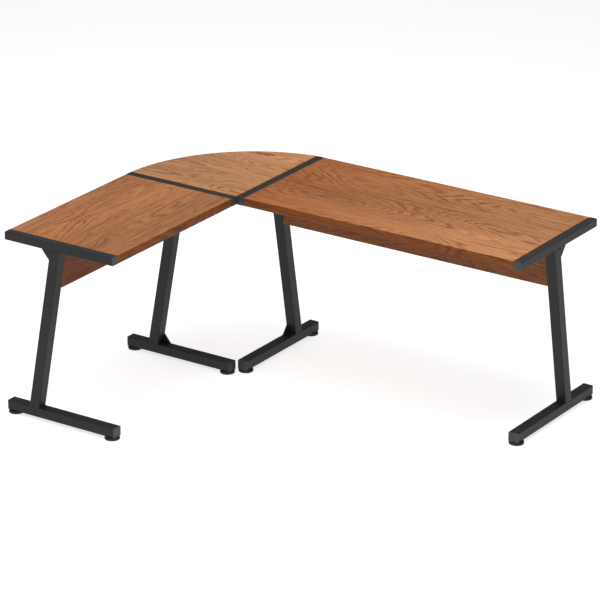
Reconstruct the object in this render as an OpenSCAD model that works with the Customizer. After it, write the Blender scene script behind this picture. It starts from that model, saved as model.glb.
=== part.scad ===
// Corner desk: two worktop arms and a rounded corner panel on four raked-leg steel frames.

/* [Worktop] */
// Height of the working surface above the floor
desk_h = 750; // [700:5:780]
// Thickness of the worktop panels, which is the height of the top beams too
top_t = 33; // [28:1:40]
// Depth of the left arm, from its front edge to its back edge
left_depth = 510; // [480:5:600]
// Depth of the right arm
right_depth = 570; // [520:5:640]
// Length of the left arm, from the inner corner to its free end
left_len = 810; // [600:10:1000]
// Length of the right arm, from the inner corner to its free end
right_len = 1290; // [900:10:1500]
// Radius of the corner panel's rounded back edge
corner_r = 600; // [560:10:760]
// Gap between a worktop panel and the beam beside it
seam = 0.5; // [0.3:0.1:1]

/* [Frames] */
// Width of the top beams
beam_w = 32; // [28:1:40]
// Width of the legs across their frame
leg_w = 44; // [40:1:48]
// Wall of the steel tubes
wall = 1.5; // [1.2:0.1:2]
// Outer corner radius of the steel tubes
tube_r = 3; // [2:0.5:4]
// Horizontal size of a leg along its frame
leg_d = 46; // [40:1:50]
// Distance from the frame's front to the leg's front face, under the top beam
leg_top_s = 249; // [235:1:256]
// The same distance at the foot beam
leg_foot_s = 369; // [350:1:375]
// Width of the foot beams
foot_w = 44; // [44:1:52]
// Height of the foot beams
foot_h = 39; // [34:1:42]
// Setback of the end frames' foot beams from the frame's front
end_foot_front = 10; // [4:1:20]
// Setback of the left inner frame's foot beam from the frame's front
left_foot_front = 18; // [10:1:30]
// Setback of the right inner frame's foot beam, which keeps it clear of the left one
right_foot_front = 20; // [18:1:40]
// How far the foot beams reach past the back of the top beams
foot_back = 10; // [0:1:20]
// How far the right inner frame's foot beam stops short of the back of its top beam
short_foot = 36; // [30:2:60]
// Size of the triangular gussets
gusset = 38; // [30:1:44]

/* [Modesty panels] */
// Height of the modesty panels
modesty_h = 160; // [120:5:200]
// Thickness of the modesty panels
modesty_t = 18; // [16:1:22]
// Distance from the worktop's front edge to the modesty panel's face
modesty_s = 276; // [272:1:284]

/* [Levelling feet] */
// Diameter of the foot pads
pad_d = 60; // [54:1:60]
// Distance from the foot beam's end to the pad's centre
pad_inset = 24; // [22:1:32]
// Height of the foot beams above the floor
foot_gap = 12; // [12:1:18]
// Diameter of the threaded studs
stud_d = 10; // [8:2:10]

/* [Hidden] */
$fn = 48;
bite = 1;                 // overlap that keeps cuts clear of coplanar faces
cap_t = 2.5;              // plate of a tube's end cap
cap_plug = 14;            // how far an end cap reaches into its tube
cap_slack = 0.2;          // gap between an end cap's plug and the tube
gusset_t = 5;             // plate of an inner frame's foot gusset
plate_t = 4;              // support plates under the beams
plate_w = 40;
plate_reach = 50;         // how far a plate reaches under a worktop panel
plate_lap = 16;           // width of an end frame's plate that is welded under its beam
plate_inset = 80;         // from a top beam's ends to the centres of its plates
screw_d = 4.5;            // wood screws
screw_head_d = 9;
screw_head_t = 2.6;
screw_bite = 22;          // depth of a worktop screw in the wood
screw_t = 32;             // from a beam's side to its worktop screw
bracket = 26;             // leg of a modesty bracket
bracket_t = 3;
bracket_w = 40;
bracket_screw_d = 4;
bracket_screw_len = 13;   // depth of a modesty screw in the wood
bracket_screw_gap = 20;   // between the two screws of one bracket leg
stud_slack = 0.05;        // running clearance of a stud in its nut
nut_d = 13;
nut_flange_d = 17;
nut_flange_t = 1;
nut_h = 18;
stud_top = foot_gap + 24;
head_d = 18;              // head of a stud, which turns inside its pad
head_t = 2.4;
head_z = 1.8;
pad_h = 6;
pad_lip = 1.2;            // chamfer round a pad's edges
wheel_d = pad_d - 2;      // hand wheel on a stud, between its pad and the foot beam
wheel_z = 6.8;
wheel_t = 3.6;
wheel_lip = 0.8;
grip_count = 30;          // grooves round a hand wheel
grip_r = 1.6;
grip_depth = 0.7;

underside = desk_h - top_t;
foot_top = foot_gap + foot_h;
rake = atan((leg_foot_s - leg_top_s) / (underside - foot_top));
pad_over = pad_d / 2 - pad_inset;         // pad's reach past the foot beam's end
pad_side = (pad_d - foot_w) / 2;          // pad's reach past the foot beam's side

// Origin: on the floor, in the middle of the desk's footprint.
low_x = -left_depth - foot_back - pad_over;
high_x = right_len + pad_side;
low_y = -left_len - pad_side;
high_y = right_depth + foot_back + pad_over;
mid = [(low_x + high_x) / 2, (low_y + high_y) / 2];

// Corner panel: its back edge is one arc through the far corners of both arms.
chord = norm([left_depth, right_depth]);
arc_drop = sqrt(pow(corner_r, 2) - pow(chord / 2, 2));
arc_c = [-left_depth / 2 + arc_drop * right_depth / chord,
         right_depth / 2 - arc_drop * left_depth / chord];

FRAMES = ["left_end", "left_inner", "right_inner", "right_end"];
ENDS = ["front", "back"];
FRAME_PARTS = ["top_beam", "leg", "foot_beam", "top_gusset", "caps"];
FOOT_PARTS = ["pad", "stud", "wheel"];

steel = [0.21, 0.21, 0.22];
zinc = [0.70, 0.71, 0.73];
black = [0.09, 0.09, 0.09];
wood = [0.66, 0.44, 0.30];
dark_wood = [0.45, 0.25, 0.15];

function is_left(f) = f == "left_end" || f == "left_inner";
function is_inner(f) = f == "left_inner" || f == "right_inner";
function depth(f) = is_left(f) ? left_depth : right_depth;
function foot_front(f) = f == "left_inner" ? left_foot_front
                       : f == "right_inner" ? right_foot_front : end_foot_front;
function foot_end(f) = depth(f) + (f == "right_inner" ? -short_foot : foot_back);
function plates_s(f) = [plate_inset, depth(f) - plate_inset];
// Sides on which a frame carries a worktop panel: 1 past its inner side, -1 past its outer side.
function panel_sides(f) = is_inner(f) ? [1, -1] : [1];
function screw_y(side) = side > 0 ? beam_w + screw_t : -screw_t;
function pad_s(f, e) = e == "front" ? foot_front(f) + pad_inset
                                    : foot_end(f) - pad_inset;

// Everything is drawn round the inner corner of the worktop, then moved to the origin.
module on_floor() {
    translate([-mid[0], -mid[1], 0]) children();
}

// A frame is drawn with X from its front to its back and Y across its beam, from the outer side.
module in_frame(f) {
    on_floor()
        if (is_left(f))
            translate([0, f == "left_end" ? -left_len : -beam_w, 0]) mirror([1, 0, 0]) children();
        else
            translate([f == "right_end" ? right_len : beam_w, 0, 0]) rotate(90) children();
}

module round_rect(w, h, r) {
    translate([-w / 2 + r, -h / 2]) square([w - 2 * r, h]);
    translate([-w / 2, -h / 2 + r]) square([w, h - 2 * r]);
    for (x = [-1, 1], y = [-1, 1])
        translate([x * (w / 2 - r), y * (h / 2 - r)]) circle(r);
}

module tube_section(w, h) {
    difference() {
        round_rect(w, h, tube_r);
        round_rect(w - 2 * wall, h - 2 * wall, tube_r - wall);
    }
}

// A level tube along X from x0 to x1, centred on y, with its underside at z0.
module level_tube(x0, x1, y, w, h, z0) {
    translate([x0, y, z0 + h / 2])
        rotate([90, 0, 90])
            linear_extrude(x1 - x0) tube_section(w, h);
}

// A cap in a level tube's end: dir is 1 for the back end and -1 for the front end.
module tube_cap(x, dir, y, w, h, z0) {
    plug_w = w - 2 * (wall + cap_slack);
    plug_h = h - 2 * (wall + cap_slack);
    translate([x, y, z0 + h / 2])
        rotate([90, 0, dir * 90]) {
            translate([0, 0, -cap_t]) linear_extrude(cap_t) round_rect(w, h, tube_r);
            translate([0, 0, -cap_t - cap_plug])
                linear_extrude(cap_plug) round_rect(plug_w, plug_h, tube_r - wall);
        }
}

module top_beam(f) {
    color(steel) in_frame(f)
        level_tube(cap_t, depth(f) - cap_t, beam_w / 2, beam_w, top_t, underside);
}

module leg(f) {
    leg_section = leg_d * cos(rake);
    color(steel) in_frame(f) intersection() {
        translate([(leg_top_s + leg_foot_s + leg_d) / 2, leg_w / 2, (underside + foot_top) / 2])
            rotate([0, -rake, 0])
                linear_extrude(desk_h, center = true) tube_section(leg_section, leg_w);
        translate([0, -bite, foot_top])
            cube([depth(f), leg_w + 2 * bite, underside - foot_top]);
    }
}

module foot_beam(f) {
    color(steel) in_frame(f) difference() {
        level_tube(foot_front(f) + cap_t, foot_end(f) - cap_t, foot_w / 2, foot_w, foot_h, foot_gap);
        for (e = ENDS)
            translate([pad_s(f, e), foot_w / 2, foot_gap - bite])
                cylinder(d = nut_d, h = wall + 2 * bite);
    }
}

// A hollow wedge that fills the corner between a leg and a beam. The outline is drawn in X and Z.
module wedge(outline, core) {
    color(steel) difference() {
        translate([0, leg_w, 0]) rotate([90, 0, 0]) linear_extrude(leg_w) polygon(outline);
        translate([0, leg_w - wall, 0])
            rotate([90, 0, 0]) linear_extrude(leg_w - 2 * wall) polygon(core);
    }
}

// Behind the leg, under the top beam.
module top_gusset(f) {
    back_s = leg_top_s + leg_d;
    run = tan(rake);
    skin = wall * 1.6;
    in_frame(f)
        wedge([[back_s, underside],
               [back_s + gusset, underside],
               [back_s + gusset * run, underside - gusset]],
              [[back_s, underside],
               [back_s + gusset - skin, underside],
               [back_s + (gusset - skin) * run, underside - gusset + skin]]);
}

// A plate in front of the leg, on the foot beam, on the side that faces the corner panel.
module foot_gusset(f) {
    run = tan(rake);
    color(steel) in_frame(f)
        translate([0, leg_w - tube_r, 0])
            rotate([90, 0, 0])
                linear_extrude(gusset_t)
                    polygon([[leg_foot_s, foot_top],
                             [leg_foot_s - gusset * run, foot_top + gusset],
                             [leg_foot_s - gusset, foot_top]]);
}

module caps(f) {
    color(black) in_frame(f) {
        tube_cap(0, -1, beam_w / 2, beam_w, top_t, underside);
        tube_cap(depth(f), 1, beam_w / 2, beam_w, top_t, underside);
        tube_cap(foot_front(f), -1, foot_w / 2, foot_w, foot_h, foot_gap);
        tube_cap(foot_end(f), 1, foot_w / 2, foot_w, foot_h, foot_gap);
    }
}

// Flat plates, welded under two frames' top beams, that carry the worktop panels beside them.
module support_plates(frames) {
    for (f = frames) frame_plates(f, is_inner(f) ? -plate_reach : beam_w - plate_lap);
}

module frame_plates(f, low) {
    color(steel) in_frame(f)
        for (s = plates_s(f))
            difference() {
                translate([s - plate_w / 2, low, underside - plate_t])
                    cube([plate_w, beam_w + plate_reach - low, plate_t]);
                for (side = panel_sides(f))
                    translate([s, screw_y(side), underside - plate_t - bite])
                        cylinder(d = screw_d, h = plate_t + 2 * bite);
            }
}

// Pilot holes or screws at every point where a frame's plates meet the panels on one side.
module at_plate_screws(f, side) {
    in_frame(f)
        for (s = plates_s(f))
            translate([s, screw_y(side), underside]) children();
}

module worktop_pilots(frames_and_sides) {
    for (fs = frames_and_sides)
        at_plate_screws(fs[0], fs[1])
            translate([0, 0, -bite]) cylinder(d = screw_d, h = screw_bite + bite);
}

module worktop_screws() {
    color(zinc)
        for (f = FRAMES)
            for (side = panel_sides(f))
                at_plate_screws(f, side) {
                    translate([0, 0, -plate_t]) cylinder(d = screw_d, h = plate_t + screw_bite);
                    translate([0, 0, -plate_t - screw_head_t])
                        cylinder(d = screw_head_d, h = screw_head_t);
                }
}

// Where the modesty brackets of an arm stand along it.
function bracket_places(f) = is_left(f)
    ? [for (k = [1, 3]) -left_len + beam_w + (left_len - 2 * beam_w) * k / 4]
    : [for (k = [1, 3, 5]) beam_w + (right_len - 2 * beam_w) * k / 6];

// An arm's own frame: X from the front edge to the back, Y along the arm.
module in_arm(f) {
    on_floor() if (is_left(f)) mirror([1, 0, 0]) children();
    else mirror([1, -1, 0]) children();
}

module bracket_screw_places(f, side_face) {
    in_arm(f)
        for (y = bracket_places(f), k = [-1, 1])
            translate([0, y + k * bracket_screw_gap / 2, 0])
                if (side_face)
                    translate([modesty_s + modesty_t + bracket_t, 0, underside - bracket / 2])
                        rotate([0, -90, 0]) children();
                else
                    translate([modesty_s + modesty_t + bracket / 2, 0, underside - bracket_t])
                        children();
}

module bracket_holes(f, side_face) {
    bracket_screw_places(f, side_face)
        cylinder(d = bracket_screw_d, h = bracket_t + bracket_screw_len);
}

module modesty_brackets() {
    for (f = ["left_end", "right_end"]) arm_brackets(f);
}

module arm_brackets(f) {
    color(steel) difference() {
        in_arm(f)
            for (y = bracket_places(f)) {
                translate([modesty_s + modesty_t, y - bracket_w / 2, underside - bracket])
                    cube([bracket_t, bracket_w, bracket]);
                translate([modesty_s + modesty_t, y - bracket_w / 2, underside - bracket_t])
                    cube([bracket, bracket_w, bracket_t]);
            }
        bracket_holes(f, true);
        bracket_holes(f, false);
    }
}

module modesty_screws() {
    color(zinc)
        for (f = ["left_end", "right_end"])
            for (side_face = [true, false])
                bracket_screw_places(f, side_face) {
                    cylinder(d = bracket_screw_d, h = bracket_t + bracket_screw_len);
                    translate([0, 0, -screw_head_t])
                        cylinder(d = 2 * bracket_screw_d, h = screw_head_t);
                }
}

module modesty(f) {
    low_y = is_left(f) ? -left_len + leg_w : beam_w;
    high_y = is_left(f) ? -beam_w : right_len - leg_w;
    color(dark_wood) difference() {
        in_arm(f)
            translate([modesty_s, low_y + seam, underside - modesty_h])
                cube([modesty_t, high_y - low_y - 2 * seam, modesty_h]);
        bracket_holes(f, true);
    }
}

module left_top() {
    color(wood) difference() {
        on_floor()
            translate([-left_depth, -left_len + beam_w + seam, underside])
                cube([left_depth, left_len - 2 * (beam_w + seam), top_t]);
        worktop_pilots([["left_end", 1], ["left_inner", -1]]);
        bracket_holes("left_end", false);
    }
}

module right_top() {
    color(wood) difference() {
        on_floor()
            translate([beam_w + seam, 0, underside])
                cube([right_len - 2 * (beam_w + seam), right_depth, top_t]);
        worktop_pilots([["right_inner", -1], ["right_end", 1]]);
        bracket_holes("right_end", false);
    }
}

module corner_top() {
    color(wood) difference() {
        on_floor() intersection() {
            translate([arc_c[0], arc_c[1], underside]) cylinder(r = corner_r, h = top_t, $fn = 128);
            translate([-left_depth, seam, underside - bite])
                cube([left_depth - seam, right_depth - seam, top_t + 2 * bite]);
        }
        worktop_pilots([["left_inner", 1], ["right_inner", 1]]);
    }
}

module at_foot(f, e) {
    in_frame(f) translate([pad_s(f, e), foot_w / 2, 0]) children();
}

module foot_nuts() {
    color(zinc)
        for (f = FRAMES, e = ENDS)
            at_foot(f, e) difference() {
                union() {
                    translate([0, 0, foot_gap]) cylinder(d = nut_d, h = nut_h);
                    translate([0, 0, foot_gap - nut_flange_t])
                        cylinder(d = nut_flange_d, h = nut_flange_t);
                }
                translate([0, 0, foot_gap - nut_flange_t - bite])
                    cylinder(d = stud_d, h = nut_h + nut_flange_t + 2 * bite);
            }
}

// The glide that stands on the floor. It holds the stud's head, which turns in it.
module foot_pad(f, e) {
    color(black) at_foot(f, e) difference() {
        rotate_extrude($fn = 96)
            polygon([[0, 0],
                     [pad_d / 2 - pad_lip, 0],
                     [pad_d / 2, pad_lip],
                     [pad_d / 2, pad_h - pad_lip],
                     [pad_d / 2 - pad_lip, pad_h],
                     [0, pad_h]]);
        translate([0, 0, head_z - stud_slack])
            cylinder(d = head_d + 2 * stud_slack, h = head_t + 2 * stud_slack);
        translate([0, 0, head_z]) cylinder(d = stud_d, h = pad_h);
    }
}

module foot_stud(f, e) {
    color(zinc) at_foot(f, e) {
        translate([0, 0, head_z]) cylinder(d = head_d, h = head_t);
        translate([0, 0, head_z]) cylinder(d = stud_d - 2 * stud_slack, h = stud_top - head_z);
    }
}

// The hand wheel, moulded on the stud, that screws the foot up and down.
module foot_wheel(f, e) {
    color(black) at_foot(f, e) translate([0, 0, wheel_z]) difference() {
        rotate_extrude($fn = 96)
            polygon([[0, 0],
                     [wheel_d / 2 - wheel_lip, 0],
                     [wheel_d / 2, wheel_lip],
                     [wheel_d / 2, wheel_t - wheel_lip],
                     [wheel_d / 2 - wheel_lip, wheel_t],
                     [0, wheel_t]]);
        translate([0, 0, -bite]) cylinder(d = stud_d - 2 * stud_slack, h = wheel_t + 2 * bite);
        for (k = [0 : grip_count - 1])
            rotate(k * 360 / grip_count)
                translate([wheel_d / 2 + grip_r - grip_depth, 0, -bite])
                    cylinder(r = grip_r, h = wheel_t + 2 * bite, $fn = 24);
    }
}

left_top();
right_top();
corner_top();
modesty("left_end");  // left_modesty
modesty("right_end");  // right_modesty
for (f = FRAMES) {
    top_beam(f);
    leg(f);
    foot_beam(f);
    top_gusset(f);
    caps(f);
}
foot_gusset("left_inner");  // left_inner_foot_gusset
foot_gusset("right_inner");  // right_inner_foot_gusset
support_plates(["left_end", "right_end"]);  // end_support_plates
support_plates(["left_inner", "right_inner"]);  // inner_support_plates
modesty_brackets();
worktop_screws();
modesty_screws();
foot_nuts();
for (f = FRAMES, e = ENDS) {
    foot_pad(f, e);
    foot_stud(f, e);
    foot_wheel(f, e);
}
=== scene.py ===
"""Looks of the corner desk: veneered boards, powder-coated frames and their small hardware."""
import math

import bmesh
import bpy
from mathutils import Matrix, Vector


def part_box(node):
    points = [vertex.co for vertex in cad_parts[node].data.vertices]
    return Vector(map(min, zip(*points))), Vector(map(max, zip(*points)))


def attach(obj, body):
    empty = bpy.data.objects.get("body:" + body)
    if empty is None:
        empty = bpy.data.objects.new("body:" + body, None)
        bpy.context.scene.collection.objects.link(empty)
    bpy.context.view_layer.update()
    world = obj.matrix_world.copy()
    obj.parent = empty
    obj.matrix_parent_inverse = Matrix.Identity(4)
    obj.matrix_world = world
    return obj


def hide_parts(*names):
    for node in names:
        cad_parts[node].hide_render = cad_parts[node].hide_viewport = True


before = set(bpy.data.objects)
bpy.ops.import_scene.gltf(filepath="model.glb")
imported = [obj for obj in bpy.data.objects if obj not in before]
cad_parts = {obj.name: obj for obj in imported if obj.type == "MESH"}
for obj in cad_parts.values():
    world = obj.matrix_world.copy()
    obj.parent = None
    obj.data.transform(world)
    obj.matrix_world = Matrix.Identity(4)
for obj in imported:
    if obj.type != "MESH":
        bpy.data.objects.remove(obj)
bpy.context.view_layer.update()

FRAMES = ("left_end", "left_inner", "right_inner", "right_end")
ENDS = ("front", "back")
FEET = [f"{f}_{e}" for f in FRAMES for e in ENDS]

# Camera, in metres and degrees.
CAMERA_TARGET = Vector((-0.0125, 0.0054, 0.4347))
CAMERA_AZIMUTH = 33.924
CAMERA_ELEVATION = 21.744
CAMERA_DISTANCE = 14.15
CAMERA_LENS = 220.14
CAMERA_REACH = 200

# Area lights: name, place, point they aim at, diameter and power.
LIGHTS = (
    ("key", (0.6, -3.0, 5.6), (0, 0, 0.5), 3.2, 105),
    ("fill", (-3.2, -5.4, 3.0), (0, 0, 0.5), 4.0, 22),
    ("top", (-0.9, 0.3, 5.2), (0, 0, 0.5), 4.5, 138),
    ("right_end", (1.1, 0.3, 2.7), (0.9, 0.2, 0.75), 1.2, 22),
)
# Strength of the surroundings, as light on the desk and as the camera sees them.
ROOM_LIGHT = 0.22
ROOM_SEEN = 0.86
# A pale floor that also glows, so that it is as white as its surroundings.
FLOOR_RADIUS = 60
FLOOR_SIDES = 96
FLOOR_GREY = 0.5
FLOOR_GLOW = 0.74

# Boards, in metres.
CORNER_RADIUS = 0.6
BAND = 0.002
BAND_SEAM = 0.00015
FACE_CHAMFER = 0.0002
EDGE_ROUND = 0.0012
CORNER_ROUND = 0.0025
LEAST_ROUND = 0.0002
ROUND_STEPS = 4
ARC_STEPS = 96

# Frames, in metres.
LEG_D = 0.046
GUSSET = 0.038
BEAM_W = 0.032
LEG_W = 0.044
TUBE_ROUND = 0.003
CAP_ROUND = 0.0016
CAP_ROUND_STEPS = 4
BEAD = 0.0021
BEAD_STEP = 0.0008
BEAD_RIPPLE = 0.0019
BEAD_SIDES = 10

# Feet and screws, in metres. A thread's widths are in pitches, from its middle.
PAD_ROUND = 0.0004
WHEEL_ROUND = 0.0003
STUD_HEAD_T = 0.0024
STUD_HEAD_EDGE = 0.0003
STUD_CREST = 0.00495
STUD_ROOT = 0.0042
STUD_PITCH = 0.0015
STUD_TIP = 0.0008
SCREW_HEAD_T = 0.0026
SCREW_PITCH = 0.0018
SCREW_POINT = 0.004
SLOT_WIDTH = 0.0011
SLOT_DEPTH = 0.0016
SCREW_TURN = 37           # degrees from one screw's cross recess to the next one's
THREAD_ROOT = 0.46
THREAD_CREST = 0.06
THREAD_STEPS = 20
LATHE_STEPS = 40

# Angles in degrees, and distances in metres below which points or planes are the same.
SHARP_ANGLE = 35
BEVEL_ANGLE = 40
SPLIT_ANGLE = 50
WELD_GAP = 0.00001
SAME_POINT = 0.000001
SAME_PLANE = 0.00001


# ---------------------------------------------------------------- camera, light and floor

def make_camera():
    azimuth = math.radians(CAMERA_AZIMUTH)
    elevation = math.radians(CAMERA_ELEVATION)
    away = Vector((
        math.sin(azimuth) * math.cos(elevation),
        -math.cos(azimuth) * math.cos(elevation),
        math.sin(elevation),
    ))
    data = bpy.data.cameras.new("camera")
    data.lens = CAMERA_LENS
    data.clip_end = CAMERA_REACH
    camera = bpy.data.objects.new("camera", data)
    camera.location = CAMERA_TARGET + away * CAMERA_DISTANCE
    camera.rotation_euler = away.to_track_quat("Z", "Y").to_euler()
    bpy.context.scene.collection.objects.link(camera)
    bpy.context.scene.camera = camera


def area_light(name, place, aim, size, power):
    data = bpy.data.lights.new(name, "AREA")
    data.shape = "DISK"
    data.size = size
    data.energy = power
    light = bpy.data.objects.new(name, data)
    light.location = place
    light.rotation_euler = (Vector(place) - Vector(aim)).to_track_quat("Z", "Y").to_euler()
    bpy.context.scene.collection.objects.link(light)


def make_lights():
    for light in LIGHTS:
        area_light(*light)
    world = bpy.data.worlds.new("studio")
    world.use_nodes = True
    nodes = world.node_tree.nodes
    sky = nodes["Background"]
    sky.inputs["Color"].default_value = (1, 1, 1, 1)
    # The room is white where the camera sees it, and gives the desk a dimmer light.
    seen = nodes.new("ShaderNodeLightPath").outputs["Is Camera Ray"]
    strength = nodes.new("ShaderNodeMapRange")
    strength.inputs["To Min"].default_value = ROOM_LIGHT
    strength.inputs["To Max"].default_value = ROOM_SEEN
    world.node_tree.links.new(seen, strength.inputs["Value"])
    world.node_tree.links.new(strength.outputs["Result"], sky.inputs["Strength"])
    bpy.context.scene.world = world
    bpy.context.scene.view_settings.view_transform = "Standard"


def make_floor():
    mesh = bpy.data.meshes.new("floor")
    form = bmesh.new()
    bmesh.ops.create_circle(form, cap_ends=True, segments=FLOOR_SIDES, radius=FLOOR_RADIUS)
    form.to_mesh(mesh)
    form.free()
    floor = bpy.data.objects.new("floor", mesh)
    bpy.context.scene.collection.objects.link(floor)
    paper = Material("pale_floor")
    paper.shader.inputs["Base Color"].default_value = (FLOOR_GREY, FLOOR_GREY, FLOOR_GREY, 1)
    paper.shader.inputs["Emission Color"].default_value = (1, 1, 1, 1)
    paper.shader.inputs["Emission Strength"].default_value = FLOOR_GLOW
    paper.shader.inputs["Roughness"].default_value = 1.0
    paper.shader.inputs["Specular IOR Level"].default_value = 0.0
    mesh.materials.append(paper.material)


# ---------------------------------------------------------------- material helper

class Material:
    """A node material, with short calls for the nodes that it needs."""

    def __init__(self, name):
        self.material = bpy.data.materials.new(name)
        self.material.use_nodes = True
        self.tree = self.material.node_tree
        self.shader = self.tree.nodes["Principled BSDF"]

    def node(self, kind, **settings):
        made = self.tree.nodes.new(kind)
        for name, value in settings.items():
            setattr(made, name, value)
        return made

    def feed(self, socket, value):
        if isinstance(value, bpy.types.NodeSocket):
            self.tree.links.new(value, socket)
        else:
            socket.default_value = value

    def math(self, operation, *values):
        made = self.node("ShaderNodeMath", operation=operation)
        for socket, value in zip(made.inputs, values):
            self.feed(socket, value)
        return made.outputs[0]

    def place(self):
        return self.node("ShaderNodeTexCoord").outputs["Object"]

    def split(self, vector):
        made = self.node("ShaderNodeSeparateXYZ")
        self.feed(made.inputs[0], vector)
        return made.outputs

    def join(self, x, y, z):
        made = self.node("ShaderNodeCombineXYZ")
        for socket, value in zip(made.inputs, (x, y, z)):
            self.feed(socket, value)
        return made.outputs[0]

    def noise(self, vector, scale=1.0, detail=2.0, roughness=0.5, distortion=0.0):
        made = self.node("ShaderNodeTexNoise")
        self.feed(made.inputs["Vector"], vector)
        made.inputs["Scale"].default_value = scale
        made.inputs["Detail"].default_value = detail
        made.inputs["Roughness"].default_value = roughness
        made.inputs["Distortion"].default_value = distortion
        return made.outputs["Fac"]

    def random(self, vector):
        made = self.node("ShaderNodeTexWhiteNoise", noise_dimensions="3D")
        self.feed(made.inputs["Vector"], vector)
        return made.outputs["Color"]

    def fit(self, value, low, high, to_low=0.0, to_high=1.0, smooth=False):
        made = self.node("ShaderNodeMapRange")
        if smooth:
            made.interpolation_type = "SMOOTHSTEP"
        for name, given in (("Value", value), ("From Min", low), ("From Max", high),
                            ("To Min", to_low), ("To Max", to_high)):
            self.feed(made.inputs[name], given)
        return made.outputs["Result"]

    def ramp(self, value, first, last):
        made = self.node("ShaderNodeValToRGB")
        for element, colour in zip(made.color_ramp.elements, (first, last)):
            element.color = (*colour, 1)
        self.feed(made.inputs["Fac"], value)
        return made.outputs["Color"]

    def mix(self, factor, a, b, blend="MIX"):
        made = self.node("ShaderNodeMix", data_type="RGBA", blend_type=blend)
        sockets = made.inputs
        self.feed(sockets["Factor"], factor)
        colours = [s for s in sockets if s.name in ("A", "B") and s.type == "RGBA"]
        for socket, value in zip(colours, (a, b)):
            if isinstance(value, tuple):
                value = (*value, 1)
            self.feed(socket, value)
        return [s for s in made.outputs if s.type == "RGBA"][0]

    def bump(self, height, strength, distance):
        made = self.node("ShaderNodeBump")
        made.inputs["Strength"].default_value = strength
        made.inputs["Distance"].default_value = distance
        self.feed(made.inputs["Height"], height)
        self.feed(self.shader.inputs["Normal"], made.outputs["Normal"])


# ---------------------------------------------------------------- materials

# Linear colours of the wood, from its light early wood to its dark streaks.
WOOD_LIGHT = (0.425, 0.180, 0.072)
WOOD_MID = (0.315, 0.118, 0.040)
WOOD_LATE = (0.145, 0.044, 0.012)
WOOD_STREAK = (0.090, 0.026, 0.007)
# The stretch of the right arm, in metres, along which its decor is painted from painted shade to a
# painted sheen.
PAINTED_LIGHT_SPAN = (-0.35, 0.86)
# How fast each layer of the wood changes, along and across the grain, per metre.
ARCH = (1.1, 5.2)
WAVER = (6.0, 40.0)
RAGGED = (30.0, 300.0)
PATCH = (1.3, 7.0)
FIBRE = (7.0, 190.0)
PORE = (34.0, 820.0)
STREAK = (2.0, 52.0)
TONE = (0.8, 3.4)
# Growth rings over the noise's whole range, and rings per metre across the grain besides.
ARCH_RINGS = 30.0
PLAIN_RINGS = 14.0
# How far a whole step of a seed shifts the wood's noise along the grain.
SEED_STEP = 10
# Linear colours of the frames, their caps, the feet and the zinc-plated parts, and roughness.
COAT_BLACK = (0.020, 0.020, 0.0205)
CAP_BLACK = (0.036, 0.036, 0.037)
FOOT_BLACK = (0.014, 0.014, 0.014)
CAP_ROUGHNESS = 0.50
FOOT_ROUGHNESS = 0.55
ZINC_DULL = (0.50, 0.51, 0.53)
ZINC_BRIGHT = (0.68, 0.69, 0.71)
# Strength of the highlights of the wood and of the powder coat.
SATIN = 0.22


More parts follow.
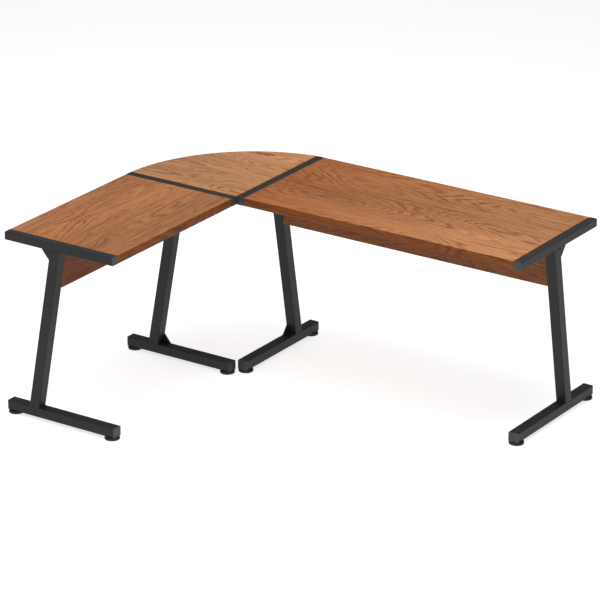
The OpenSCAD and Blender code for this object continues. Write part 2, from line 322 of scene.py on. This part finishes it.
def wood(name, along, across, through, seed, tint_and_painted_light=(1, 1, 1), painted_light=(0, 0, 0)):
    """Wood decor. along, across and through are the axes of its grain, 0 for X to 2 for Z.

    The colours are multiplied by a tint per colour, which holds painted shade and a painted sheen
    for some panels. The last argument is painted light along the grain: how much darker the decor
    is painted at the start of the right arm's stretch, as painted shade, and how much paler at its
    end, as a painted sheen.
    """
    m = Material(name)
    axes = m.split(m.place())
    u, v, w = axes[along], axes[across], axes[through]

    def grain(layer, **settings):
        long, wide = layer
        at = m.join(m.math("ADD", m.math("MULTIPLY", u, long), seed * SEED_STEP),
                    m.math("MULTIPLY", v, wide), m.math("MULTIPLY", w, wide))
        return m.noise(at, **settings)

    # Growth rings are the contour lines of a slow field that is stretched along the grain, so they
    # close into arches where it peaks and run straight between the peaks.
    arch = grain(ARCH, detail=1.0, roughness=0.35, distortion=0.2)
    field = m.math("MULTIPLY", arch, ARCH_RINGS)
    field = m.math("ADD", field, m.math("MULTIPLY", v, PLAIN_RINGS))
    field = m.math("ADD", field, m.fit(grain(WAVER), 0, 1, -0.8, 0.8))
    ragged = m.math("ADD", field, m.fit(grain(RAGGED), 0, 1, -0.5, 0.5))
    ring = m.math("FRACT", ragged)
    late = m.math("MULTIPLY", m.fit(ring, 0.40, 0.86, smooth=True),
                  m.fit(ring, 0.92, 1.0, 1, 0, smooth=True))
    chance = m.split(m.random(m.join(m.math("FLOOR", field), seed, 0)))[0]

    patch = m.fit(grain(PATCH), 0.36, 0.64)
    fibre = grain(FIBRE, detail=3, roughness=0.65)
    pore = m.fit(grain(PORE, detail=1), 0.58, 0.72)
    streak = m.fit(grain(STREAK, detail=5, roughness=0.75), 0.51, 0.65, smooth=True)

    # The tint holds painted shade and a painted sheen for some panels.
    light, mid, dark, deepest = [tuple(c * s for c, s in zip(colour, tint_and_painted_light))
                                 for colour in (WOOD_LIGHT, WOOD_MID, WOOD_LATE, WOOD_STREAK)]
    colour = m.mix(m.fit(fibre, 0.30, 0.70), light, mid)
    figure = m.math("MULTIPLY", late, m.fit(patch, 0, 1, 0.45, 1.0))
    figure = m.math("MULTIPLY", figure, m.fit(chance, 0, 1, 0.35, 1.0))
    colour = m.mix(figure, colour, dark)
    colour = m.mix(m.math("MULTIPLY", streak, m.fit(patch, 0, 1, 0.70, 0.35)), colour, dark)
    colour = m.mix(m.math("MULTIPLY", pore, m.fit(late, 0, 1, 0.16, 0.60)), colour, deepest)
    tone = m.fit(grain(TONE), 0.3, 0.7, 0.80, 1.16)
    # Painted light: the decor is painted darker towards the right arm's inner end, as painted
    # shade, and paler towards its right end, as a painted sheen, on top of its random tone.
    fade = m.fit(u, *PAINTED_LIGHT_SPAN, -1, 1)
    tone_and_painted_light = [m.math("MULTIPLY", tone, m.math("MULTIPLY_ADD", fade, d, 1.0)) for d in painted_light]
    colour = m.mix(1.0, colour, m.join(*tone_and_painted_light), blend="MULTIPLY")
    m.feed(m.shader.inputs["Base Color"], colour)

    gloss = m.math("ADD", m.fit(fibre, 0.2, 0.8, 0.42, 0.52), m.math("MULTIPLY", late, 0.06))
    m.feed(m.shader.inputs["Roughness"], gloss)
    m.shader.inputs["Specular IOR Level"].default_value = SATIN
    relief = m.math("SUBTRACT", m.math("MULTIPLY", fibre, 0.5), m.math("MULTIPLY", pore, 0.8))
    m.bump(relief, 0.22, 0.0004)
    return m.material


def shaded(colour, factor):
    return tuple(c * factor for c in colour)


def powder_coat(name, colour):
    """Satin powder coat, with its fine orange peel and a faint change of tone."""
    m = Material(name)
    at = m.place()
    cloud = m.noise(at, scale=5.0, detail=3)
    grain = m.noise(at, scale=950.0, detail=2)
    ripple = m.noise(at, scale=260.0, detail=2)
    base = m.ramp(m.fit(cloud, 0.3, 0.7), shaded(colour, 0.88), shaded(colour, 1.16))
    base = m.mix(m.fit(grain, 0.60, 0.74, 0, 0.30), base, shaded(colour, 2.1))
    m.feed(m.shader.inputs["Base Color"], base)
    m.feed(m.shader.inputs["Roughness"], m.fit(grain, 0.25, 0.75, 0.40, 0.54))
    m.shader.inputs["Specular IOR Level"].default_value = SATIN
    relief = m.math("ADD", m.math("MULTIPLY", grain, 0.45), m.math("MULTIPLY", ripple, 0.55))
    m.bump(relief, 0.20, 0.00035)
    return m.material


def moulded(name, colour, rough):
    """Moulded plastic with a fine spark-eroded texture."""
    m = Material(name)
    at = m.place()
    grain = m.noise(at, scale=1400.0, detail=1)
    cloud = m.noise(at, scale=40.0, detail=2)
    base = m.ramp(m.fit(cloud, 0.3, 0.7), shaded(colour, 0.85), shaded(colour, 1.2))
    m.feed(m.shader.inputs["Base Color"], base)
    m.feed(m.shader.inputs["Roughness"], m.fit(grain, 0.25, 0.75, rough - 0.06, rough + 0.08))
    m.bump(grain, 0.25, 0.0002)
    return m.material


def zinc_plate(name):
    """Zinc-plated steel, with the faint cloudiness of plated screws."""
    m = Material(name)
    at = m.place()
    cloud = m.noise(at, scale=300.0, detail=3)
    base = m.ramp(m.fit(cloud, 0.3, 0.7), ZINC_DULL, ZINC_BRIGHT)
    m.feed(m.shader.inputs["Base Color"], base)
    m.shader.inputs["Metallic"].default_value = 1.0
    m.feed(m.shader.inputs["Roughness"], m.fit(cloud, 0.25, 0.75, 0.26, 0.42))
    m.bump(cloud, 0.08, 0.0002)
    return m.material


# ---------------------------------------------------------------- mesh helpers

def add_piece(name, form, material, body="desk", replaces=()):
    """Turns a bmesh into a piece that rides on a body."""
    bmesh.ops.recalc_face_normals(form, faces=form.faces)
    mesh = bpy.data.meshes.new(name)
    form.to_mesh(mesh)
    form.free()
    piece = bpy.data.objects.new(name, mesh)
    bpy.context.scene.collection.objects.link(piece)
    mesh.materials.append(material)
    mesh.shade_smooth()
    mesh.set_sharp_from_angle(angle=math.radians(SHARP_ANGLE))
    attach(piece, body)
    if replaces:
        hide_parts(*replaces)


def band_section(thickness):
    """Section of an edge band: points of (inset, height), rounded at its two outer corners."""
    points = [(BAND, 0.0)]
    for centre_z, first in ((EDGE_ROUND, 180), (thickness - EDGE_ROUND, 90)):
        for k in range(ROUND_STEPS + 1):
            turn = math.radians(first + 90 * (1 - k / ROUND_STEPS))
            points.append((EDGE_ROUND + EDGE_ROUND * math.cos(turn),
                           centre_z + EDGE_ROUND * math.sin(turn)))
    points.append((BAND, thickness))
    return points


def sweep_ring(form, outline, section):
    """A closed band: section, a list of (inset, height), carried round outline(inset)."""
    rings = [[form.verts.new((x, y, z)) for x, y in outline(inset)] for inset, z in section]
    count = len(rings[0])
    for k, ring in enumerate(rings):
        after = rings[(k + 1) % len(rings)]
        for i in range(count):
            j = (i + 1) % count
            form.faces.new((ring[i], ring[j], after[j], after[i]))


def slab(form, outline, thickness, inset):
    """A flat core with a fine chamfer round its two faces."""
    levels = ((inset + FACE_CHAMFER, 0.0), (inset, FACE_CHAMFER),
              (inset, thickness - FACE_CHAMFER), (inset + FACE_CHAMFER, thickness))
    rings = [[form.verts.new((x, y, z)) for x, y in outline(i)] for i, z in levels]
    count = len(rings[0])
    for ring, after in zip(rings, rings[1:]):
        for i in range(count):
            j = (i + 1) % count
            form.faces.new((ring[i], ring[j], after[j], after[i]))
    form.faces.new(rings[0])
    form.faces.new(rings[-1])


def rectangle(x0, x1, y0, y1):
    """Outline of a rectangle with small round corners, as a function of its inset."""
    def outline(inset):
        radius = max(CORNER_ROUND - inset, LEAST_ROUND)
        points = []
        reach = inset + radius
        for cx, cy, first in ((x1 - reach, y0 + reach, -90), (x1 - reach, y1 - reach, 0),
                              (x0 + reach, y1 - reach, 90), (x0 + reach, y0 + reach, 180)):
            for k in range(ROUND_STEPS + 1):
                turn = math.radians(first + 90 * k / ROUND_STEPS)
                points.append((cx + radius * math.cos(turn), cy + radius * math.sin(turn)))
        return points
    return outline


def fan(x0, x1, y0, y1, radius):
    """Outline of the corner board: two straight edges that meet at (x1, y0), and one arc."""
    half = math.hypot(x1 - x0, y1 - y0) / 2
    drop = math.sqrt(radius ** 2 - half ** 2)
    cx = (x0 + x1) / 2 + drop * (y1 - y0) / (2 * half)
    cy = (y0 + y1) / 2 - drop * (x1 - x0) / (2 * half)

    def outline(inset):
        r = radius - inset
        right, low = x1 - inset, y0 + inset
        first = math.acos((right - cx) / r)
        last = math.pi - math.asin((low - cy) / r)
        turns = [first + (last - first) * k / ARC_STEPS for k in range(ARC_STEPS + 1)]
        return [(right, low)] + [(cx + r * math.cos(t), cy + r * math.sin(t)) for t in turns]
    return outline


def board(node, outline, thickness, place, face_finish, band_finish):
    """A veneered core and the band glued round its edges."""
    core = bmesh.new()
    slab(core, outline, thickness, BAND + BAND_SEAM)
    core.transform(place)
    add_piece(f"{node}_board", core, face_finish, replaces=(node,))
    band = bmesh.new()
    sweep_ring(band, outline, band_section(thickness))
    band.transform(place)
    add_piece(f"{node}_edge_band", band, band_finish)


# ---------------------------------------------------------------- boards

# What the wood's colours are multiplied by, for red, green and blue. These hold painted shade and
# a painted sheen, as said for each.
# The edge bands are a darker edging, and darker still with painted shade of edges that face away
# from the top light.
BAND_TONE_AND_PAINTED_SHADE = (0.56, 0.37, 0.13)
# The modesty panels are darkened with painted shade for their place under the worktop, and the
# left one is painted darker than the right.
RIGHT_MODESTY_PAINTED_SHADE = (0.60, 0.50, 0.36)
LEFT_MODESTY_PAINTED_SHADE = (0.44, 0.26, 0.08)
# The corner board is paler and greyer, partly its own tone and partly a painted sheen.
CORNER_TONE_AND_PAINTED_SHEEN = (1.28, 1.50, 1.78)
# The right arm is painted a little darker than the left, as painted shade.
RIGHT_PAINTED_SHADE = (0.97, 0.97, 0.96)
# How much paler and greyer the right arm is painted towards its right end, as a painted sheen, and
# how much darker towards its inner end, as painted shade, per colour.
RIGHT_PAINTED_LIGHT = (0.14, 0.28, 0.42)
# Seeds of the wood, one for each panel.
RIGHT_SEED = 0.37
LEFT_SEED = 0.81
CORNER_SEED = 0.59
RIGHT_MODESTY_SEED = 0.23
LEFT_MODESTY_SEED = 0.44
X, Y, Z = range(3)


def make_boards():
    arms = (
        ("right_top", wood("wood_right", X, Y, Z, RIGHT_SEED, RIGHT_PAINTED_SHADE, RIGHT_PAINTED_LIGHT),
         wood("band_right", X, Y, Z, RIGHT_SEED, BAND_TONE_AND_PAINTED_SHADE)),
        ("left_top", wood("wood_left", Y, X, Z, LEFT_SEED),
         wood("band_left", Y, X, Z, LEFT_SEED, BAND_TONE_AND_PAINTED_SHADE)),
    )
    for node, finish, edge in arms:
        low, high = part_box(node)
        board(node, rectangle(low.x, high.x, low.y, high.y), high.z - low.z,
              Matrix.Translation((0, 0, low.z)), finish, edge)

    low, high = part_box("corner_top")
    board("corner_top", fan(low.x, high.x, low.y, high.y, CORNER_RADIUS), high.z - low.z,
          Matrix.Translation((0, 0, low.z)),
          wood("wood_corner", X, Y, Z, CORNER_SEED, CORNER_TONE_AND_PAINTED_SHEEN),
          wood("band_corner", X, Y, Z, CORNER_SEED, BAND_TONE_AND_PAINTED_SHADE))

    # A board is drawn flat in X and Y, and the modesty panels are stood up on their edges.
    finish = wood("wood_right_modesty", X, Z, Y, RIGHT_MODESTY_SEED, RIGHT_MODESTY_PAINTED_SHADE)
    low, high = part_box("right_modesty")
    stand = Matrix(((1, 0, 0, 0), (0, 0, -1, high.y), (0, 1, 0, 0), (0, 0, 0, 1)))
    board("right_modesty", rectangle(low.x, high.x, low.z, high.z), high.y - low.y,
          stand, finish, finish)
    finish = wood("wood_left_modesty", Y, Z, X, LEFT_MODESTY_SEED, LEFT_MODESTY_PAINTED_SHADE)
    low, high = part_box("left_modesty")
    stand = Matrix(((0, 0, 1, low.x), (1, 0, 0, 0), (0, 1, 0, 0), (0, 0, 0, 1)))
    board("left_modesty", rectangle(low.y, high.y, low.z, high.z), high.x - low.x,
          stand, finish, finish)


# ---------------------------------------------------------------- frames and feet

def dress(node, material, round_to=0.0, segments=2):
    """Gives a CAD node its finish and, if asked, a small round along its sharp edges."""
    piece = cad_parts[node]
    piece.data.materials.clear()
    piece.data.materials.append(material)
    weld = piece.modifiers.new("weld", "WELD")
    weld.merge_threshold = WELD_GAP
    if round_to:
        bevel = piece.modifiers.new("edges", "BEVEL")
        bevel.width = round_to
        bevel.segments = segments
        bevel.limit_method = "ANGLE"
        bevel.angle_limit = math.radians(BEVEL_ANGLE)
    piece.data.shade_smooth()
    split = piece.modifiers.new("sharp_edges", "EDGE_SPLIT")
    split.split_angle = math.radians(SPLIT_ANGLE)
    smooth = piece.modifiers.new("normals", "WEIGHTED_NORMAL")
    smooth.keep_sharp = True


def lathe(form, profile):
    """Turns a profile of (radius, height) about Z. Its first and last points lie on the axis."""
    rings = []
    for radius, z in profile[1:-1]:
        turns = [2 * math.pi * k / LATHE_STEPS for k in range(LATHE_STEPS)]
        rings.append([form.verts.new((radius * math.cos(a), radius * math.sin(a), z))
                      for a in turns])
    tips = [form.verts.new((0, 0, profile[0][1])), form.verts.new((0, 0, profile[-1][1]))]
    for k in range(LATHE_STEPS):
        after = (k + 1) % LATHE_STEPS
        form.faces.new((tips[0], rings[0][k], rings[0][after]))
        form.faces.new((tips[1], rings[-1][after], rings[-1][k]))
        for low, high in zip(rings, rings[1:]):
            form.faces.new((low[k], high[k], high[after], low[after]))


def thread(form, root, crest, start, end, pitch):
    """A helical ridge from the root radius to the crest radius, fading in and out over a turn."""
    count = round((end - start) / pitch * THREAD_STEPS)
    rows = []
    for k in range(count + 1):
        turn = 2 * math.pi * k / THREAD_STEPS
        fade = min(1, k / THREAD_STEPS, (count - k) / THREAD_STEPS)
        z = start + pitch * k / THREAD_STEPS
        top = root + (crest - root) * fade
        section = ((root, -THREAD_ROOT), (top, -THREAD_CREST), (top, THREAD_CREST),
                   (root, THREAD_ROOT))
        rows.append([form.verts.new((radius * math.cos(turn), radius * math.sin(turn),
                                     z + shift * pitch)) for radius, shift in section])
    for row, after in zip(rows, rows[1:]):
        for k in range(len(row) - 1):
            form.faces.new((row[k], row[k + 1], after[k + 1], after[k]))


def solids(node):
    """The separate solids of a CAD node, each as a list of its points."""
    form = bmesh.new()
    form.from_mesh(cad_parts[node].data)
    bmesh.ops.remove_doubles(form, verts=form.verts, dist=SAME_POINT)
    seen = set()
    groups = []
    for start in form.verts:
        if start in seen:
            continue
        seen.add(start)
        pile = [start]
        group = []
        while pile:
            vert = pile.pop()
            group.append(vert.co.copy())
            for edge in vert.link_edges:
                other = edge.other_vert(vert)
                if other not in seen:
                    seen.add(other)
                    pile.append(other)
        groups.append(group)
    form.free()
    return groups


def screw_place(points):
    """Where a screw stands, from the top of its head with Z along its shank, and its sizes."""
    low = Vector([min(p[k] for p in points) for k in range(3)])
    high = Vector([max(p[k] for p in points) for k in range(3)])
    size = high - low
    axis = max(range(3), key=lambda k: size[k])
    centre = (low + high) / 2

    def reach(end):
        near = [p for p in points if abs(p[axis] - end) < SAME_PLANE]
        return max(math.dist([p[k] for k in range(3) if k != axis],
                             [centre[k] for k in range(3) if k != axis]) for p in near)

    head_low = reach(low[axis]) > reach(high[axis])
    direction = Vector([0, 0, 0])
    direction[axis] = 1 if head_low else -1
    top = centre.copy()
    top[axis] = low[axis] if head_low else high[axis]
    shank = reach(high[axis] if head_low else low[axis])
    head = max(reach(low[axis]), reach(high[axis]))
    place = Matrix.Translation(top) @ direction.to_track_quat("Z", "Y").to_matrix().to_4x4()
    return place, head, shank, size[axis]


def screw_form(head, shank, length):
    """A pan-head wood screw with a cross recess, its head's top at the origin."""
    head_t = SCREW_HEAD_T
    core = shank * 0.72
    solid = bmesh.new()
    lathe(solid, [(0, 0), (head * 0.35, 0.0001), (head * 0.66, 0.0004), (head * 0.88, 0.0010),
                  (head, 0.0018), (head, head_t - 0.0002), (head - 0.0002, head_t),
                  (core, head_t + 0.0001), (core, length - SCREW_POINT),
                  (shank * 0.1, length - 0.0002), (0, length)])
    cutter = bmesh.new()
    for turn in (0, 90):
        blade = bmesh.ops.create_cube(cutter, size=1)["verts"]
        for vert in blade:
            vert.co = Vector((vert.co.x * head * 1.15, vert.co.y * SLOT_WIDTH,
                              vert.co.z * 2 * SLOT_DEPTH))
            if vert.co.z > 0:
                vert.co.x *= 0.45
        bmesh.ops.rotate(cutter, verts=blade, matrix=Matrix.Rotation(math.radians(turn), 3, "Z"))
    carved = carve(solid, cutter)
    thread(carved, shank * 0.70, shank * 0.99, head_t + 0.003, length - 0.003, SCREW_PITCH)
    return carved


def carve(solid, cutter):
    """The solid less the cutter, as a new bmesh. Both are used up."""
    shapes = []
    for form in (solid, cutter):
        bmesh.ops.recalc_face_normals(form, faces=form.faces)
        mesh = bpy.data.meshes.new("shape")
        form.to_mesh(mesh)
        form.free()
        shape = bpy.data.objects.new("shape", mesh)
        bpy.context.scene.collection.objects.link(shape)
        shapes.append(shape)
    body, tool = shapes
    cut = body.modifiers.new("cut", "BOOLEAN")
    cut.operation = "DIFFERENCE"
    cut.solver = "EXACT"
    cut.use_self = True
    cut.object = tool
    seen = body.evaluated_get(bpy.context.evaluated_depsgraph_get())
    carved = bmesh.new()
    carved.from_mesh(seen.to_mesh())
    seen.to_mesh_clear()
    for shape in shapes:
        bpy.data.meshes.remove(shape.data)
    return carved


def make_screws(node, material):
    """Screws with a thread and a cross recess, which stand in for a node's plain ones."""
    places = [screw_place(points) for points in solids(node)]
    screw = screw_form(*places[0][1:])
    pattern = bpy.data.meshes.new("screw")
    screw.to_mesh(pattern)
    screw.free()
    form = bmesh.new()
    for number, (place, *_) in enumerate(places):
        first = len(form.verts)
        form.from_mesh(pattern)
        form.verts.ensure_lookup_table()
        turn = Matrix.Rotation(math.radians(SCREW_TURN * number), 4, "Z")
        bmesh.ops.transform(form, matrix=place @ turn, verts=form.verts[first:])
    bpy.data.meshes.remove(pattern)
    add_piece(f"{node}_cut", form, material, replaces=(node,))


def make_stud(foot, material):
    """The threaded stud of a levelling foot, with the head that turns in its pad."""
    low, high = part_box(f"{foot}_stud")
    head = (high.x - low.x) / 2
    head_t, edge, root = STUD_HEAD_T, STUD_HEAD_EDGE, STUD_ROOT
    length = high.z - low.z
    form = bmesh.new()
    lathe(form, [(0, 0), (head - edge, 0), (head, edge), (head, head_t - edge),
                 (head - edge, head_t), (root, head_t), (root, length - STUD_TIP),
                 (root - STUD_TIP, length), (0.002, length), (0, length)])
    thread(form, root - 0.00005, STUD_CREST, head_t + STUD_PITCH, length - STUD_PITCH, STUD_PITCH)
    form.transform(Matrix.Translation(((low.x + high.x) / 2, (low.y + high.y) / 2, low.z)))
    add_piece(f"{foot}_stud_thread", form, material, body=f"{foot}_screw",
              replaces=(f"{foot}_stud",))


def bead(form, start, end):
    """A weld bead with its ripples, between two points."""
    run = end - start
    count = round(run.length / BEAD_STEP)
    turn = run.to_track_quat("Z", "Y").to_matrix().to_4x4()
    rings = []
    for k in range(count + 1):
        along = k * run.length / count
        ripple = abs(math.sin(math.pi * along / BEAD_RIPPLE))
        fade = math.sqrt(min(1, (k + 0.3) / 2, (count - k + 0.3) / 2))
        r = BEAD * fade * (0.84 + 0.16 * ripple)
        place = Matrix.Translation(start) @ turn @ Matrix.Translation((0, 0, along))
        rings.append([form.verts.new(place @ Vector((r * math.cos(a), r * math.sin(a), 0)))
                      for a in (2 * math.pi * i / BEAD_SIDES for i in range(BEAD_SIDES))])
    for ring, after in zip(rings, rings[1:]):
        for i in range(BEAD_SIDES):
            j = (i + 1) % BEAD_SIDES
            form.faces.new((ring[i], ring[j], after[j], after[i]))
    form.faces.new(rings[0])
    form.faces.new(rings[-1])


def make_weld_beads(f, material):
    """Welds across the front and the back of a leg, at its foot and at its top.

    The one behind its top lies behind the gusset.
    """
    left = f.startswith("left")
    low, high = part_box(f"{f}_leg")
    corner = (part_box("left_top")[1].x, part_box("right_top")[0].y)
    near = corner[0] - high.x if left else low.y - corner[1]
    far = corner[0] - low.x if left else high.y - corner[1]

    def at(s, t, z):
        if left:
            return Vector((corner[0] - s, low.y + t, z))
        return Vector((high.x - t, corner[1] + s, z))

    joints = ((far, low.z, LEG_W), (far - LEG_D, low.z, LEG_W),
              (near, high.z, BEAM_W), (near + LEG_D + GUSSET, high.z, BEAM_W))
    form = bmesh.new()
    for s, z, width in joints:
        bead(form, at(s, TUBE_ROUND, z), at(s, width - TUBE_ROUND, z))
    add_piece(f"{f}_weld_beads", form, material)


def make_frames():
    coat = powder_coat("powder_coat", COAT_BLACK)
    cap_plastic = moulded("cap_plastic", CAP_BLACK, CAP_ROUGHNESS)
    foot_plastic = moulded("foot_plastic", FOOT_BLACK, FOOT_ROUGHNESS)
    zinc = zinc_plate("zinc_plate")
    for f in FRAMES:
        for part in ("top_beam", "leg", "foot_beam", "top_gusset"):
            dress(f"{f}_{part}", coat)
        dress(f"{f}_caps", cap_plastic, CAP_ROUND, CAP_ROUND_STEPS)
    for node in ("left_inner_foot_gusset", "right_inner_foot_gusset", "end_support_plates",
                 "inner_support_plates", "modesty_brackets"):
        dress(node, coat)
    dress("foot_nuts", zinc)
    for foot in FEET:
        dress(f"{foot}_pad", foot_plastic, PAD_ROUND)
        dress(f"{foot}_wheel", foot_plastic, WHEEL_ROUND)
        make_stud(foot, zinc)
    for node in ("worktop_screws", "modesty_screws"):
        make_screws(node, zinc)
    for f in FRAMES:
        make_weld_beads(f, coat)


make_camera()
make_lights()
make_floor()
make_boards()
make_frames()
